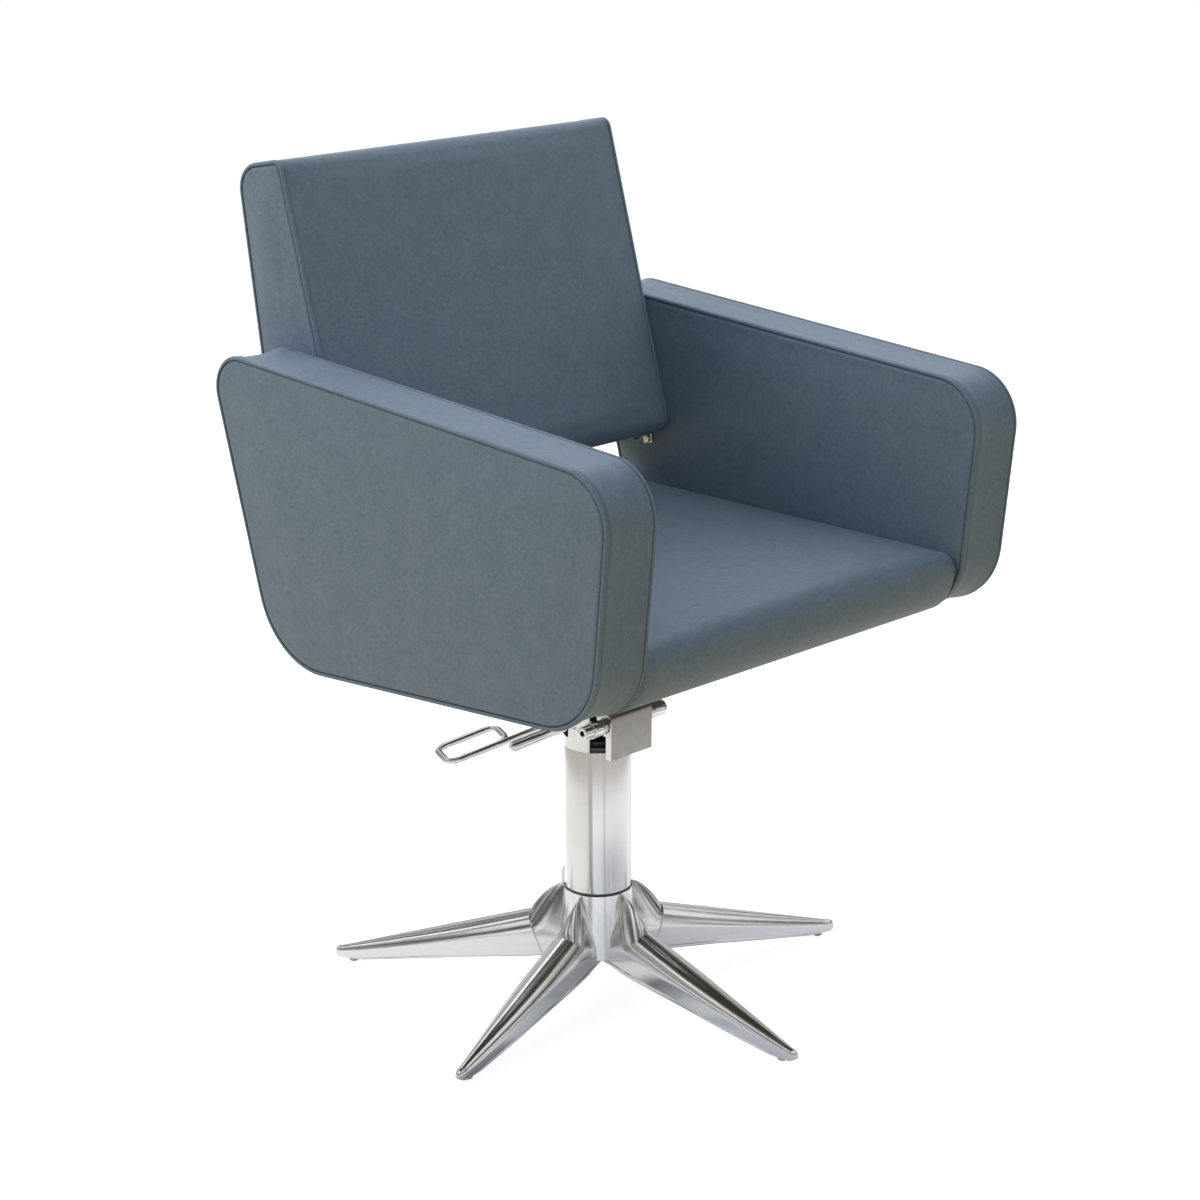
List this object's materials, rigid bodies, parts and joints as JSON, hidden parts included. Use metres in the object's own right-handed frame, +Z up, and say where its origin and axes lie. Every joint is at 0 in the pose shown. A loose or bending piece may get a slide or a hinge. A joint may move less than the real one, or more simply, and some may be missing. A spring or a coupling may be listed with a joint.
{
  "type": "hairdressing_chair",
  "caption": "Hairdressing chair with padded seat, arms and back in blue-grey leatherette on a hydraulic column with a polished star base",
  "frame": {"origin": "on the floor, under the middle of the chair's width and depth", "axes": "+Z up, the chair faces -Y, +X to the sitter's left"},
  "size_m": [0.6448, 0.6153, 0.946],
  "materials": {
    "cast_aluminium": "polished",
    "chrome": "polished",
    "brushed_steel": "satin",
    "dark_steel": "oiled",
    "nickel": "satin nickel",
    "bronze": "machined",
    "nylon": "moulded",
    "black_plastic": "moulded",
    "rubber": "moulded",
    "plywood": "sanded",
    "leatherette": "fine matt grain"
  },
  "bodies": {
    "base": {"star_base": "cast_aluminium", "floor_glide_1": "nylon", "floor_glide_2": "nylon", "floor_glide_3": "nylon", "floor_glide_4": "nylon", "floor_glide_5": "nylon", "hub_bush": "bronze", "dust_ring": "rubber"},
    "ram": {"ram_rod": "chrome", "ram_washer": "dark_steel", "ram_nut": "dark_steel", "ram_piston": "bronze", "piston_seal": "rubber"},
    "chair": {"column_tube": "chrome", "gland_ring": "black_plastic", "cylinder_barrel": "dark_steel", "pump_head": "brushed_steel", "pump_block": "dark_steel", "lever_pin": "chrome", "mounting_plate": "dark_steel", "plate_bolt_1": "dark_steel", "plate_bolt_2": "dark_steel", "plate_bolt_3": "dark_steel", "plate_bolt_4": "dark_steel", "seat_frame": "plywood", "seat_cushion": "leatherette", "arm_bolt_1": "dark_steel", "arm_bolt_2": "dark_steel", "arm_bolt_3": "dark_steel", "arm_bolt_4": "dark_steel", "arm_pad_right": "leatherette", "arm_pad_left": "leatherette", "arm_core_right": "plywood", "arm_core_left": "plywood", "back_pad": "leatherette", "back_core": "plywood", "back_bracket_right": "nickel", "back_bracket_left": "nickel", "arm_screw_right": "nickel", "arm_screw_left": "nickel", "back_screw_right": "nickel", "back_screw_left": "nickel"},
    "lever": {"lever_rod": "chrome", "lever_stirrup": "chrome"},
    "plunger": {"pump_plunger": "chrome"},
    "treadle_unit": {"treadle": "brushed_steel", "cross_shaft": "chrome", "shaft_crank": "chrome"}
  },
  "joints": [
    {"name": "swivel", "type": "hinge", "parent": "base", "child": "ram", "pos_m": [0, 0.0141, 0.1185], "axis": [0, 0, 1], "continuous": true},
    {"name": "lift", "type": "slide", "parent": "ram", "child": "chair", "axis": [0, 0, 1], "range_m": [0, 0.13]},
    {"name": "lever_press", "type": "hinge", "parent": "chair", "child": "lever", "pos_m": [-0.02991, 0.02805, 0.3154], "axis": [-0.4226, -0.9063, 0], "range_deg": [0, 14], "stiffness_Nm_per_rad": 8, "springref_deg": -11.46},
    {"name": "plunger_stroke", "type": "slide", "parent": "chair", "child": "plunger", "axis": [0, 0, 1], "range_m": [0, 0.0047]},
    {"name": "treadle_press", "type": "hinge", "parent": "chair", "child": "treadle_unit", "pos_m": [0, -0.0259, 0.3264], "axis": [1, 0, 0], "range_deg": [0, 6], "stiffness_Nm_per_rad": 3, "springref_deg": -6.88}
  ],
  "couplings": [
    {"joint": "plunger_stroke", "follows": "lever_press", "m_per_rad": 0.0185}
  ]
}
